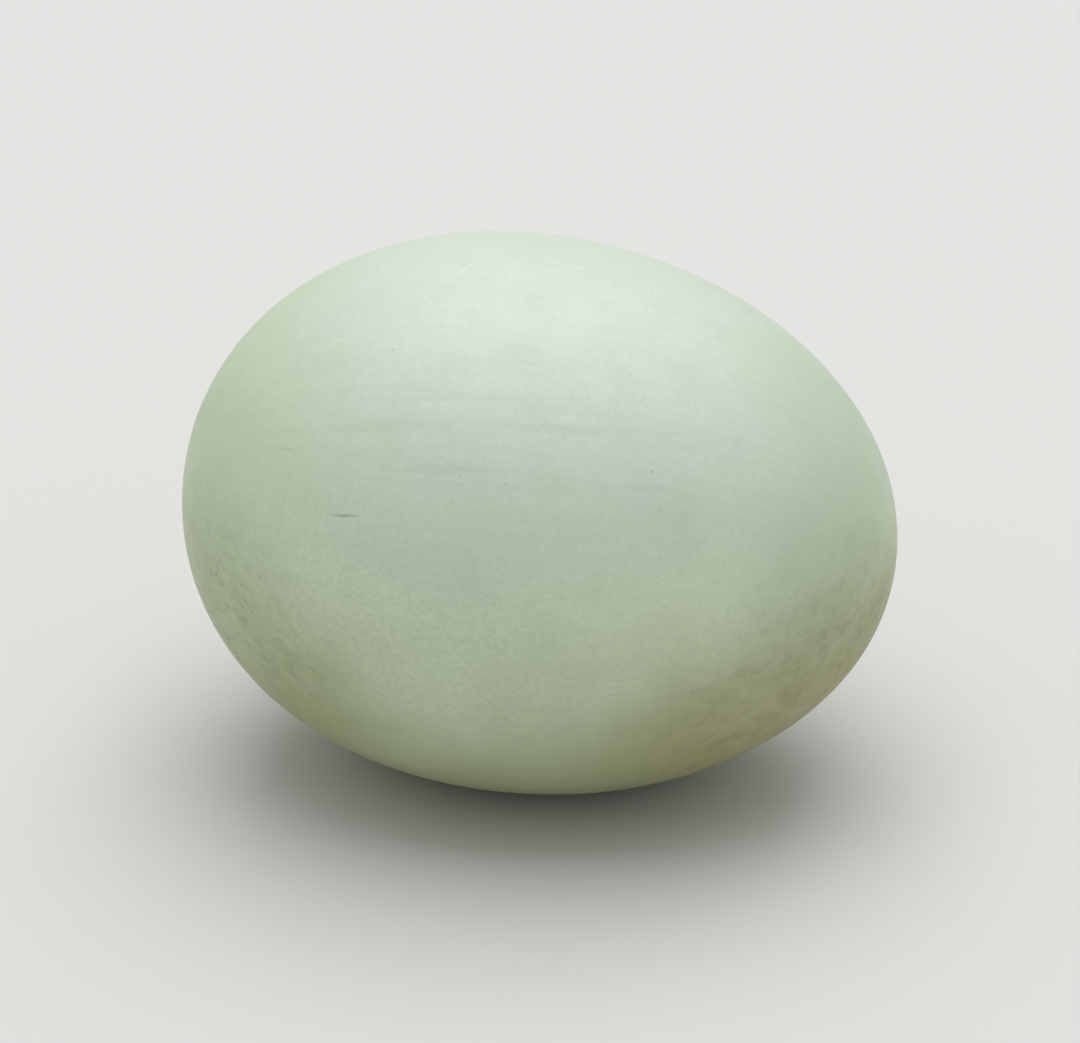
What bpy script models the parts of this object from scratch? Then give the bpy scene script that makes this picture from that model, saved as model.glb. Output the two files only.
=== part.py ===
# A duck egg in its shell, lying on its side as it comes to rest on a flat surface.
# The long axis runs along X, with the pointed end at +X. Lengths are in metres.

import math

import bmesh
import bpy
from mathutils import Matrix, Vector

# Driving dimensions
LENGTH = 0.060  # from end to end, along the axis
BREADTH = 0.0467  # across the middle
TAPER = -0.053  # share by which the +X end is slimmer and the -X end is fuller
FULLNESS = 0.026  # share by which both ends are fuller than an ellipsoid's

# Unevenness of a laid egg
OVALNESS = 0.00012  # the cross-section's half width gains this and its half height loses it
BOW = 0.00015  # the middle of the axis lies this far to +Y, and its ends as far to -Y
SHOULDER = 0.00018  # one side swells by this, beside the blunt end
SHOULDER_SIDE = Vector((-0.62, -0.55, 0.56)).normalized()
SHOULDER_SHARPNESS = 5  # a higher power swells a smaller patch

# Where it rests
FLAT_DEPTH = 0.0004  # how far the resting side is pressed in, which gives a spot about 9 mm across
SETTLING_RANGE = math.radians(12)  # the furthest that one turn goes to look for the rest
SETTLING_ROUNDS = 4
SETTLING_STEPS = 40

# The mesh is a cube of even cells, blown up into a ball and stretched into the egg
CELLS_PER_SIDE = 24

SHELL_COLOUR = (0.540, 0.624, 0.480, 1.0)  # pale celadon, linear
SHELL_ROUGHNESS = 0.46


def clear_scene():
    for thing in list(bpy.data.objects):
        bpy.data.objects.remove(thing, do_unlink=True)


# The egg's surface, for a direction from the middle of a unit ball.
def egg_point(direction):
    along = direction.x
    radius = BREADTH / 2 * (1 + TAPER * along + FULLNESS * along ** 2)
    point = Vector((
        LENGTH / 2 * along,
        (radius + OVALNESS) * direction.y + BOW * (1 - 2 * along ** 2),
        (radius - OVALNESS) * direction.z,
    ))
    toward_shoulder = max(0.0, direction.dot(SHOULDER_SIDE))
    return point + SHOULDER * toward_shoulder ** SHOULDER_SHARPNESS * direction


def egg_mesh():
    mesh = bmesh.new()
    bmesh.ops.create_cube(mesh, size=2)
    bmesh.ops.subdivide_edges(mesh, edges=mesh.edges[:], cuts=CELLS_PER_SIDE - 1, use_grid_fill=True)
    for vertex in mesh.verts:
        even_angles = Vector([math.tan(value * math.pi / 4) for value in vertex.co])
        vertex.co = egg_point(even_angles.normalized())
    return mesh


# The centre of mass of the solid, from the tetrahedra between its triangles and the origin.
def centre_of_mass(mesh):
    volume = 0.0
    moment = Vector()
    for corners in mesh.calc_loop_triangles():
        a, b, c = (loop.vert.co for loop in corners)
        piece = a.dot(b.cross(c)) / 6
        volume += piece
        moment += piece * (a + b + c) / 4
    return moment / volume


# How high the centre of mass lies above the floor after a turn.
def resting_height(points, centre, turn):
    down = turn.transposed() @ Vector((0, 0, -1))
    return max(point.dot(down) for point in points) - centre.dot(down)


# Turns the egg about one axis until its centre of mass lies as low as it can.
def settle_about(mesh, axis):
    centre = centre_of_mass(mesh)
    points = [vertex.co for vertex in mesh.verts]
    low, high = -SETTLING_RANGE, SETTLING_RANGE
    for _ in range(SETTLING_STEPS):
        third = (high - low) / 3
        near_low = resting_height(points, centre, Matrix.Rotation(low + third, 3, axis))
        near_high = resting_height(points, centre, Matrix.Rotation(high - third, 3, axis))
        if near_low < near_high:
            high -= third
        else:
            low += third
    turn = Matrix.Rotation((low + high) / 2, 3, axis)
    bmesh.ops.rotate(mesh, cent=centre, matrix=turn, verts=mesh.verts[:])


# Presses the resting side flat, and puts the origin at the bottom centre of the egg's box.
def rest_on_flat_spot(mesh):
    points = [vertex.co for vertex in mesh.verts]
    middle_x = (min(point.x for point in points) + max(point.x for point in points)) / 2
    middle_y = (min(point.y for point in points) + max(point.y for point in points)) / 2
    floor = min(point.z for point in points) + FLAT_DEPTH
    for vertex in mesh.verts:
        vertex.co -= Vector((middle_x, middle_y, floor))
        vertex.co.z = max(vertex.co.z, 0.0)


def shell_material():
    material = bpy.data.materials.new("duck eggshell")
    material.use_nodes = True
    shader = material.node_tree.nodes["Principled BSDF"]
    shader.inputs["Base Color"].default_value = SHELL_COLOUR
    shader.inputs["Roughness"].default_value = SHELL_ROUGHNESS
    shader.inputs["Metallic"].default_value = 0.0
    return material


def make_egg():
    mesh = egg_mesh()
    for _ in range(SETTLING_ROUNDS):
        settle_about(mesh, "Y")
        settle_about(mesh, "X")
    rest_on_flat_spot(mesh)
    data = bpy.data.meshes.new("egg")
    mesh.to_mesh(data)
    mesh.free()
    data.shade_smooth()
    data.materials.append(shell_material())
    egg = bpy.data.objects.new("egg", data)
    bpy.context.scene.collection.objects.link(egg)


clear_scene()
make_egg()
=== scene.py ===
import math
import random

import bmesh
import bpy
from mathutils import Matrix, Vector, noise
from mathutils.bvhtree import BVHTree
from mathutils.kdtree import KDTree


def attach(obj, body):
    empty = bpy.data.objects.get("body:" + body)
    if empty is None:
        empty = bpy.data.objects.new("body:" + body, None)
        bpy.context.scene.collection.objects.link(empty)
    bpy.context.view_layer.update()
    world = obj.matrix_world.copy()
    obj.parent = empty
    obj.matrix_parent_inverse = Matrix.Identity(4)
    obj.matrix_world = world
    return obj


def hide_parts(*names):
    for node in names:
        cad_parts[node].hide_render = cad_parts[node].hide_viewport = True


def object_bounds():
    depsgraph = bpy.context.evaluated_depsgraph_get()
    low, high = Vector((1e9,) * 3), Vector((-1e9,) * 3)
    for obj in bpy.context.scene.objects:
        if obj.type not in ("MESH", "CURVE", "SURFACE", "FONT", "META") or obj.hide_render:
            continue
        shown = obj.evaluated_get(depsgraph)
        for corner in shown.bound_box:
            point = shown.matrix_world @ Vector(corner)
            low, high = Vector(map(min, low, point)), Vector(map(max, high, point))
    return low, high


mm = 0.001  # the scene is in metres, and the settings below are in millimetres

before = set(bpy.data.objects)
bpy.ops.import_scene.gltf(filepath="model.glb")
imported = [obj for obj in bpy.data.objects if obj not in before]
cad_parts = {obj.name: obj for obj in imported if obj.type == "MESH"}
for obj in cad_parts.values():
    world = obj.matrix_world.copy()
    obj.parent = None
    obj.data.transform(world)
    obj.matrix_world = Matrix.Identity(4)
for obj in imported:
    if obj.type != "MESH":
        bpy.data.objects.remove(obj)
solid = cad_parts["egg"]
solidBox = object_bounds()
middle = (solidBox[0] + solidBox[1]) / 2
print("frame loaded")


def surfaceOf(mesh):
    return BVHTree.FromPolygons([v.co for v in mesh.vertices], [p.vertices for p in mesh.polygons])


def linearColour(hexColour):
    channels = [int(hexColour[i:i + 2], 16) / 255 for i in (1, 3, 5)]
    linear = [c / 12.92 if c <= 0.04045 else ((c + 0.055) / 1.055) ** 2.4 for c in channels]
    return (*linear, 1)


# Adds a node with its settings and its inputs, values or other nodes' outputs, and gives one output
def addNode(nodes, kind, inputs, output=0, **settings):
    node = nodes.nodes.new(kind)
    for name, value in settings.items():
        setattr(node, name, value)
    for name, value in inputs.items():
        if isinstance(value, bpy.types.NodeSocket):
            nodes.links.new(value, node.inputs[name])
        else:
            node.inputs[name].default_value = value
    return node.outputs[output]


# View

viewSettings = {
    "azimuth": 11,  # degrees round from square on, so that the pointed end is a little nearer
    "elevation": 27,  # degrees above the floor
    "distance": 600,
    "fieldWidth": 90,  # what the picture takes in at the egg
    "aimBelowMiddle": 0.8,  # leaves a little more floor in front of the egg than behind it
    "sensorWidth": 36,
}


def viewAxes():
    turn = math.radians(viewSettings["azimuth"])
    rise = math.radians(viewSettings["elevation"])
    right = Vector((math.cos(turn), math.sin(turn), 0))
    towardViewer = Vector((
        math.sin(turn) * math.cos(rise),
        -math.cos(turn) * math.cos(rise),
        math.sin(rise),
    ))
    return right, towardViewer.cross(right), towardViewer


def makeCamera():
    right, up, towardViewer = viewAxes()
    data = bpy.data.cameras.new("camera")
    data.sensor_width = viewSettings["sensorWidth"]
    data.lens = data.sensor_width * viewSettings["distance"] / viewSettings["fieldWidth"]
    camera = bpy.data.objects.new("camera", data)
    aim = middle - up * viewSettings["aimBelowMiddle"] * mm
    camera.location = aim + towardViewer * viewSettings["distance"] * mm
    camera.rotation_euler = towardViewer.to_track_quat("Z", "Y").to_euler()
    bpy.context.scene.collection.objects.link(camera)
    bpy.context.scene.camera = camera
    print("camera placed")


# Shell

shellSettings = {
    "cellsPerSide": 15,  # of the ball that is laid on the solid
    "smoothing": 3,  # subdivisions, which leave cells of about 0.4 mm
    "waves": ((17, 0.05), (6, 0.018), (1.6, 0.0045)),  # widths and heights, from broad swells to the skin
    "pits": {"count": 420, "radius": (0.45, 0.95), "height": (-0.006, -0.022)},  # shallow and round
    "pimples": {"count": 46, "radius": (0.35, 0.6), "height": (0.012, 0.035)},  # grains of lime
    "calmBelow": 2.5,  # under this height the relief fades out, toward the resting side
    "seed": 7,

    "colours": {
        "body": "#C4D1BC",  # pale celadon
        "bloom": "#C4CFC3",  # less yellow: painted sheen toward the top, where the light falls, and a cloud of thicker waxy bloom in the middle
        "olive": "#B5CAA1",  # toward the blunt end
        "mint": "#B3C6AB",  # toward the pointed end
        "paintedWarmBounce": "#CDDBBC",  # painted warm bounce light: lighter and yellower below the middle
        # painted shade, darker and yellower toward the bottom
        "paintedShadeBelow": "#A3AA77",
        "shade": "#A7B4A0",
        "pore": "#8B9784",
        "speck": "#74765F",
        # dust, with painted shade and painted brown bounce light, at the lower pointed end
        "dustAndPaintedShade": "#8D8E52",
        # olive stain with painted shade at the lower blunt end
        "stainAndPaintedShade": "#879C5C",
        # mud and painted brown bounce light, darker toward the bottom of the two marked ends
        "mudAndPaintedBounce": "#AAA171",
        "scuff": "#6F7158",
        "fleck": "#CDCFAC",  # of dried mud, paler than the stain and painted shade under it
        "hairline": "#566050",
    },
    "drift": (14, 6),  # width of the waves that the soft edges between colours wander in, and their reach
    "noises": {  # width, how many times longer each is from end to end, detail and roughness
        "cloud": (14, 1, 3, 0.5),
        "mottle": (3.2, 1, 3, 0.5),
        "dirt": (4.5, 1, 6, 0.5),
        "smudge": (1.5, 1, 4, 0.6),
        "skin": (1.0, 1, 3, 0.5),
        "grain": (0.38, 1.4, 5, 0.75),
    },
    "line": (24, 1.2),  # length and width of the fine brushed lines that run from end to end
    "spots": {  # spacing and radius
        "pore": (1.15, 0.11),  # drawn coarser than real pores, which are too fine to see
        "speck": (4.6, 0.22),
        "grit": (0.75, 0.26),  # shows only where it is dusty or stained
    },
    "spotCore": 0.3,  # share of a spot's radius within which it is full
    "markCore": 0.25,  # the same for the marks below
    "scuff": (1.5, 0.55, 0.55),  # length, width and depth of the fine scuffs that run along a mark
    "heights": {"grain": 0.017, "skin": 0.018, "pore": -0.02},  # relief too fine for the mesh
    "glossPatches": (0.35, 0.65),  # levels of the mottle at which the bloom is smoothest and roughest
    "roughness": (0.44, 0.56),  # at those two levels
    "translucence": 0.12,  # share of the light that comes back out of the shell beside where it went in
    "translucenceDepth": 1.2,
    "translucenceReach": (1, 1, 0.8),  # of red, green and blue, as shares of that depth
    "refraction": 1.5,  # between wax, 1.45, and calcite, 1.6

    # Where each mark shows, right and up of the egg's middle as the camera sees it, half its length, width
    # and depth, and how far it is turned, in degrees. Fine scuffs run along the scuffed ones.
    "marks": {
        "hairline": {"right": -15.8, "up": -0.33, "half": (1.9, 0.19, 3), "turn": 0},
        "shortLine": {"right": -20.7, "up": 5.1, "half": (1.8, 0.16, 3), "turn": -10},
        "leftLine": {"right": -8.3, "up": 3.4, "half": (7, 0.6, 5), "turn": -2.5},
        "middleLine": {"right": 4.2, "up": 6.6, "half": (12, 0.65, 6), "turn": 0},
        "farLine": {"right": -12.5, "up": 6.9, "half": (7, 0.7, 5), "turn": -3},
        "upperLine": {"right": -5.5, "up": 9.2, "half": (11, 0.6, 6), "turn": -1},
        "rightLine": {"right": 9, "up": 1.9, "half": (3.6, 0.5, 4), "turn": 2},
        "brushedSide": {"right": 0, "up": 5.5, "half": (27, 13, 16), "turn": 0},
        "paleMiddle": {"right": 9, "up": 1.5, "half": (17, 12, 14), "turn": 0},
        "roughSide": {"right": -12, "up": -13, "half": (30, 15, 20), "turn": -12},
        # At the lower pointed end: dust with painted shade and painted brown bounce light, and fine scuffs
        "dustyShadedEnd": {"right": 21, "up": -16.5, "half": (25, 19, 14), "turn": 42, "scuffed": True},
        # At the lower blunt end: an olive stain with painted shade, and fine scuffs
        "stainedShadedSide": {"right": -24.5, "up": -11.5, "half": (18, 16, 14), "turn": -54, "scuffed": True},
    },

    # Layers over the body, from the first to the last: the colour, the pattern that lays it on, where in
    # the pattern it starts and where it is full, how much there is at most, and the mark that it keeps to
    "layers": (
        # painted sheen: less yellow toward the top, where the light falls
        ("bloom", "height", 32, 44, 1, None),
        ("bloom", "cloud", 0.3, 0.65, 0.3, "paleMiddle"),
        ("olive", "along", -8, -29, 0.7, None),
        ("mint", "along", 12, 29, 0.75, None),
        # painted warm bounce light, lighter and yellower below the middle
        ("paintedWarmBounce", "height", 34, 19, 0.9, None),
        # painted shade, darker and yellower toward the bottom
        ("paintedShadeBelow", "height", 25, 3, 0.85, None),
        ("shade", "cloud", 0.45, 0.75, 0.12, None),
        ("shade", "mottle", 0.45, 0.75, 0.1, None),
        ("shade", "grain", 0.3, 0.7, 0.28, None),
        ("shade", "lines", 0.4, 0.65, 0.06, None),
        ("shade", "lines", 0.45, 0.62, 0.05, "brushedSide"),
        ("pore", "leftLine", 0, 1, 0.12, None),
        ("pore", "middleLine", 0, 1, 0.08, None),
        ("pore", "farLine", 0, 1, 0.07, None),
        ("pore", "upperLine", 0, 1, 0.05, None),
        ("pore", "rightLine", 0, 1, 0.1, None),
        ("pore", "grain", 0.4, 0.7, 0.1, "roughSide"),
        # dust at the lower pointed end, with painted shade and painted brown bounce light there
        ("dustAndPaintedShade", "dirt", -0.1, 0.65, 0.62, "dustyShadedEnd"),
        # olive stain with painted shade at the lower blunt end
        ("stainAndPaintedShade", "dirt", -0.1, 0.65, 0.4, "stainedShadedSide"),
        # mud and painted brown bounce light, toward the bottom of the two marked ends
        ("mudAndPaintedBounce", "height", 26, 10, 0.45, "dustyShadedEnd"),
        ("mudAndPaintedBounce", "height", 24, 8, 0.22, "stainedShadedSide"),
        ("scuff", "smudge", 0.48, 0.68, 0.26, "dustyShadedEnd"),
        ("fleck", "smudge", 0.46, 0.3, 0.12, "dustyShadedEnd"),
        ("scuff", "dustyShadedEndScuffs", 0.4, 0.8, 0.16, "dustyShadedEnd"),
        ("scuff", "smudge", 0.5, 0.7, 0.2, "stainedShadedSide"),
        ("fleck", "smudge", 0.46, 0.3, 0.12, "stainedShadedSide"),
        ("scuff", "stainedShadedSideScuffs", 0.4, 0.8, 0.25, "stainedShadedSide"),
        ("fleck", "dustyShadedEndScuffs", 0.45, 0.25, 0.06, "dustyShadedEnd"),
        ("fleck", "stainedShadedSideScuffs", 0.45, 0.25, 0.14, "stainedShadedSide"),
        ("scuff", "grit", 0, 1, 0.3, "dustyShadedEnd"),
        ("scuff", "grit", 0, 1, 0.4, "stainedShadedSide"),
        ("pore", "pore", 0, 1, 0.5, None),
        ("speck", "speck", 0, 1, 0.5, None),
        ("hairline", "grain", 0.3, 0.55, 0.4, "hairline"),
        ("hairline", "grain", 0.4, 0.6, 0.16, "shortLine"),
    ),
}


def layBallOnSolid():
    solidSurface = surfaceOf(solid.data)
    cuts = shellSettings["cellsPerSide"] - 1
    ball = bmesh.new()
    bmesh.ops.create_cube(ball, size=2)
    bmesh.ops.subdivide_edges(ball, edges=ball.edges[:], cuts=cuts, use_grid_fill=True)
    for vertex in ball.verts:
        direction = Vector([math.tan(value * math.pi / 4) for value in vertex.co]).normalized()
        vertex.co = solidSurface.ray_cast(middle, direction)[0]
    return ball


# Rounding draws the ball's corners in, so they are first let out by as much
def smoothCopy(ball):
    cage = bpy.data.meshes.new("cage")
    ball.to_mesh(cage)
    ball.free()
    carrier = bpy.data.objects.new("carrier", cage)
    bpy.context.scene.collection.objects.link(carrier)
    rounding = carrier.modifiers.new("rounding", "SUBSURF")
    rounding.levels = rounding.render_levels = shellSettings["smoothing"]
    drawnIn = carrier.evaluated_get(bpy.context.evaluated_depsgraph_get()).data
    letOut = [2 * corner.co - drawn.co for corner, drawn in zip(cage.vertices, drawnIn.vertices)]
    for corner, place in zip(cage.vertices, letOut):
        corner.co = place
    cage.update()
    rounded = carrier.evaluated_get(bpy.context.evaluated_depsgraph_get())
    fine = bpy.data.meshes.new_from_object(rounded)
    bpy.data.objects.remove(carrier)
    bpy.data.meshes.remove(cage)
    return fine


# How far a point moves out, in millimetres
def unevenness(point):
    height = 0
    for width, most in shellSettings["waves"]:
        height += noise.noise(point / (width * mm)) * most
    return height


# Adds round pits or pimples with smooth rims at random places
def scatterRounds(relief, mesh, near, draw, rounds):
    for _ in range(rounds["count"]):
        centre = mesh.vertices[draw.randrange(len(mesh.vertices))].co
        radius = draw.uniform(*rounds["radius"]) * mm
        height = draw.uniform(*rounds["height"])
        for place, index, distance in near.find_range(centre, radius):
            relief[index] += height * (1 - (distance / radius) ** 2) ** 2


def raiseRelief(mesh):
    near = KDTree(len(mesh.vertices))
    for vertex in mesh.vertices:
        near.insert(vertex.co, vertex.index)
    near.balance()
    draw = random.Random(shellSettings["seed"])
    relief = [unevenness(vertex.co) for vertex in mesh.vertices]
    scatterRounds(relief, mesh, near, draw, shellSettings["pits"])
    scatterRounds(relief, mesh, near, draw, shellSettings["pimples"])
    normals = [vertex.normal.copy() for vertex in mesh.vertices]
    for vertex, normal, height in zip(mesh.vertices, normals, relief):
        calm = min(1, vertex.co.z / (shellSettings["calmBelow"] * mm))
        vertex.co += normal * height * calm ** 2 * mm
        vertex.co.z = max(vertex.co.z, 0)


def makeShell():
    mesh = smoothCopy(layBallOnSolid())
    mesh.name = "shell"
    raiseRelief(mesh)
    mesh.shade_smooth()
    shell = bpy.data.objects.new("shell", mesh)
    bpy.context.scene.collection.objects.link(shell)
    print("shell made with", len(mesh.polygons), "faces")
    return shell


# How far along and how high a place is, give or take the drift
def alongAndHeight(nodes, place):
    width, reach = shellSettings["drift"]
    wander = addNode(nodes, "ShaderNodeTexNoise", {
        "Vector": place, "Scale": 1 / width, "Detail": 3,
    }, "Color", normalize=False)
    drifted = addNode(nodes, "ShaderNodeVectorMath", {
        0: wander, 1: [reach] * 3, 2: place,
    }, operation="MULTIPLY_ADD")
    axes = addNode(nodes, "ShaderNodeSeparateXYZ", {0: drifted}).node.outputs
    return {"along": axes["X"], "height": axes["Z"]}


# Lines from end to end, in a noise that is laid out by place along the egg and by angle round it
def brushedLines(nodes, place):
    length, width = shellSettings["line"]
    x, y, z = addNode(nodes, "ShaderNodeSeparateXYZ", {0: place}).node.outputs
    fromAxis = addNode(nodes, "ShaderNodeMath", {0: z, 1: middle.z / mm}, operation="SUBTRACT")
    angle = addNode(nodes, "ShaderNodeMath", {0: y, 1: fromAxis}, operation="ARCTAN2")
    endToEnd = addNode(nodes, "ShaderNodeCombineXYZ", {"X": x, "Y": angle})
    stretched = addNode(nodes, "ShaderNodeVectorMath", {
        0: endToEnd, 1: (1 / length, middle.z / mm / width, 0),
    }, operation="MULTIPLY")
    return addNode(nodes, "ShaderNodeTexNoise", {"Vector": stretched, "Scale": 1, "Detail": 3})


# The place on the shell that shows at a mark, and the directions along, across and out of it
def placeOfMark(surface, mark):
    right, up, towardViewer = viewAxes()
    wellOutside = 100  # where the look at the shell starts, in front of it
    start = middle + (right * mark["right"] + up * mark["up"] + towardViewer * wellOutside) * mm
    place, normal, index, distance = surface.ray_cast(start, -towardViewer)
    along = Matrix.Rotation(math.radians(mark["turn"]), 3, towardViewer) @ right
    along = (along - normal * along.dot(normal)).normalized()
    return place, Matrix((along, normal.cross(along), normal)).transposed()


# How much of a mark there is, from 1 in its middle to 0 at its edge, and the place within it
def markShare(nodes, place, surface, mark):
    spot, directions = placeOfMark(surface, mark)
    inMark = addNode(nodes, "ShaderNodeMapping", {
        "Vector": place,
        "Location": spot / mm,
        "Rotation": directions.to_euler(),
        "Scale": mark["half"],
    }, vector_type="TEXTURE")
    reach = addNode(nodes, "ShaderNodeVectorMath", {0: inMark}, "Value", operation="LENGTH")
    share = addNode(nodes, "ShaderNodeMapRange", {
        "Value": reach, "From Min": 1, "From Max": shellSettings["markCore"],
    }, interpolation_type="SMOOTHSTEP")
    return share, inMark


# Fine scuffs that run along a mark
def scuffsAlong(nodes, inMark, mark):
    repeats = [half / size for half, size in zip(mark["half"], shellSettings["scuff"])]
    stretched = addNode(nodes, "ShaderNodeVectorMath", {0: inMark, 1: repeats}, operation="MULTIPLY")
    return addNode(nodes, "ShaderNodeTexNoise", {"Vector": stretched, "Scale": 1, "Detail": 4})


# What varies over the shell, as numbers that its colour, gloss and relief are worked out from
def shellPatterns(nodes, surface):
    metres = addNode(nodes, "ShaderNodeTexCoord", {}, "Object")
    place = addNode(nodes, "ShaderNodeVectorMath", {0: metres, "Scale": 1 / mm}, operation="SCALE")
    patterns = alongAndHeight(nodes, place)
    patterns["lines"] = brushedLines(nodes, place)
    for name, (width, stretch, detail, roughness) in shellSettings["noises"].items():
        stretched = addNode(nodes, "ShaderNodeVectorMath", {
            0: place, 1: (1 / stretch, 1, 1),
        }, operation="MULTIPLY")
        patterns[name] = addNode(nodes, "ShaderNodeTexNoise", {
            "Vector": stretched, "Scale": 1 / width, "Detail": detail, "Roughness": roughness,
        })
    for name, (spacing, radius) in shellSettings["spots"].items():
        reach = addNode(nodes, "ShaderNodeTexVoronoi", {"Vector": place, "Scale": 1 / spacing})
        edge = radius / spacing
        disc = addNode(nodes, "ShaderNodeMapRange", {
            "Value": reach, "From Min": edge, "From Max": edge * shellSettings["spotCore"],
        }, interpolation_type="SMOOTHSTEP")
        depth = reach.node.outputs["Color"]  # differs at random from spot to spot
        patterns[name] = addNode(nodes, "ShaderNodeMath", {0: disc, 1: depth}, operation="MULTIPLY")
    for name, mark in shellSettings["marks"].items():
        patterns[name], inMark = markShare(nodes, place, surface, mark)
        if mark.get("scuffed"):
            patterns[name + "Scuffs"] = scuffsAlong(nodes, inMark, mark)
    return patterns


def shellColour(nodes, patterns):
    colours = {name: linearColour(value) for name, value in shellSettings["colours"].items()}
    colour = colours["body"]
    for name, pattern, start, full, most, mark in shellSettings["layers"]:
        share = addNode(nodes, "ShaderNodeMapRange", {
            "Value": patterns[pattern], "From Min": start, "From Max": full, "To Max": most,
        }, interpolation_type="SMOOTHSTEP")
        if mark:
            share = addNode(nodes, "ShaderNodeMath", {0: share, 1: patterns[mark]}, operation="MULTIPLY")
        colour = addNode(nodes, "ShaderNodeMix", {
            "Factor": share, "A": colour, "B": colours[name],
        }, "Result", data_type="RGBA")
    return colour


def shellGloss(nodes, patterns):
    return addNode(nodes, "ShaderNodeMapRange", {
        "Value": patterns["mottle"],
        "From Min": shellSettings["glossPatches"][0], "From Max": shellSettings["glossPatches"][1],
        "To Min": shellSettings["roughness"][0], "To Max": shellSettings["roughness"][1],
    })


def shellRelief(nodes, patterns):
    height = 0
    for name, most in shellSettings["heights"].items():
        height = addNode(nodes, "ShaderNodeMath", {
            0: patterns[name], 1: most, 2: height,
        }, operation="MULTIPLY_ADD")
    return addNode(nodes, "ShaderNodeBump", {"Strength": 1, "Distance": mm, "Height": height})


# Eggshell is calcite that grew outward in tiny columns, under a thin waxy bloom that dried as the egg
# was laid. It gives a soft satin gloss, a clouded colour, fine pores and a faint glow where light goes
# in and comes out.
def finishShell(shell):
    finish = bpy.data.materials.new("duck eggshell, calcite under a dried waxy bloom")
    finish.use_nodes = True
    nodes = finish.node_tree
    shader = nodes.nodes["Principled BSDF"]
    patterns = shellPatterns(nodes, surfaceOf(shell.data))
    nodes.links.new(shellColour(nodes, patterns), shader.inputs["Base Color"])
    nodes.links.new(shellGloss(nodes, patterns), shader.inputs["Roughness"])
    nodes.links.new(shellRelief(nodes, patterns), shader.inputs["Normal"])
    shader.inputs["Metallic"].default_value = 0
    shader.inputs["IOR"].default_value = shellSettings["refraction"]
    shader.inputs["Subsurface Weight"].default_value = shellSettings["translucence"]
    shader.inputs["Subsurface Radius"].default_value = shellSettings["translucenceReach"]
    shader.inputs["Subsurface Scale"].default_value = shellSettings["translucenceDepth"] * mm
    shell.data.materials.clear()
    shell.data.materials.append(finish)
    print("shell finished")


# Floor

floorSettings = {
    "radius": 4000,
    "sides": 96,
    "colour": "#C9C9C7",
    "specular": 0.2,
    "speckleWidth": 1.1,
    "glossPatches": (0.3, 0.7),  # levels of the speckle at which the paint is smoothest and roughest
    "roughness": (0.78, 0.9),  # at those two levels
}


# Board sprayed with matt paint, which shows no gloss and only the faintest unevenness
def floorPaint():
    paint = bpy.data.materials.new("matt sprayed paint on board")
    paint.use_nodes = True
    nodes = paint.node_tree
    shader = nodes.nodes["Principled BSDF"]
    metres = addNode(nodes, "ShaderNodeTexCoord", {}, "Object")
    speckle = addNode(nodes, "ShaderNodeTexNoise", {
        "Vector": metres, "Scale": 1 / (floorSettings["speckleWidth"] * mm), "Detail": 2,
    })
    gloss = addNode(nodes, "ShaderNodeMapRange", {
        "Value": speckle,
        "From Min": floorSettings["glossPatches"][0], "From Max": floorSettings["glossPatches"][1],
        "To Min": floorSettings["roughness"][0], "To Max": floorSettings["roughness"][1],
    })
    nodes.links.new(gloss, shader.inputs["Roughness"])
    shader.inputs["Base Color"].default_value = linearColour(floorSettings["colour"])
    shader.inputs["Specular IOR Level"].default_value = floorSettings["specular"]
    return paint


def makeFloor():
    radius = floorSettings["radius"] * mm
    board = bmesh.new()
    bmesh.ops.create_circle(board, cap_ends=True, radius=radius, segments=floorSettings["sides"])
    mesh = bpy.data.meshes.new("floor")
    board.to_mesh(mesh)
    board.free()
    mesh.materials.append(floorPaint())
    floor = bpy.data.objects.new("floor", mesh)
    bpy.context.scene.collection.objects.link(floor)
    print("floor laid")


# Light

lightSettings = {
    "roomColour": "#F8F8F8",
    "horizonStrength": 0.46,  # of the room's own light, level with the egg
    "zenithStrength": 0.9,  # and overhead
    "softboxSize": (800, 1200),
    "softboxPlace": (0, 180, 880),
    "softboxWatts": 6.7,
}


def makeSoftbox():
    data = bpy.data.lights.new("softbox", "AREA")
    data.shape = "RECTANGLE"
    data.size = lightSettings["softboxSize"][0] * mm
    data.size_y = lightSettings["softboxSize"][1] * mm
    data.energy = lightSettings["softboxWatts"]
    softbox = bpy.data.objects.new("softbox", data)
    softbox.location = Vector(lightSettings["softboxPlace"]) * mm
    softbox.rotation_euler = (softbox.location - middle).to_track_quat("Z", "Y").to_euler()
    bpy.context.scene.collection.objects.link(softbox)
    print("softbox hung")


# A pale room all round that is brighter above
def makeRoom():
    world = bpy.data.worlds.new("pale room")
    world.use_nodes = True
    nodes = world.node_tree
    background = nodes.nodes["Background"]
    direction = addNode(nodes, "ShaderNodeTexCoord", {}, "Generated")
    rise = addNode(nodes, "ShaderNodeSeparateXYZ", {0: direction}, "Z")
    strength = addNode(nodes, "ShaderNodeMapRange", {
        "Value": rise,
        "To Min": lightSettings["horizonStrength"], "To Max": lightSettings["zenithStrength"],
    }, interpolation_type="SMOOTHSTEP")
    nodes.links.new(strength, background.inputs["Strength"])
    background.inputs["Color"].default_value = linearColour(lightSettings["roomColour"])
    bpy.context.scene.world = world
    print("room lit")


makeCamera()
shell = makeShell()
finishShell(shell)
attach(shell, "root")
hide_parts("egg")
makeFloor()
makeSoftbox()
makeRoom()
bpy.context.scene.view_settings.view_transform = "Standard"
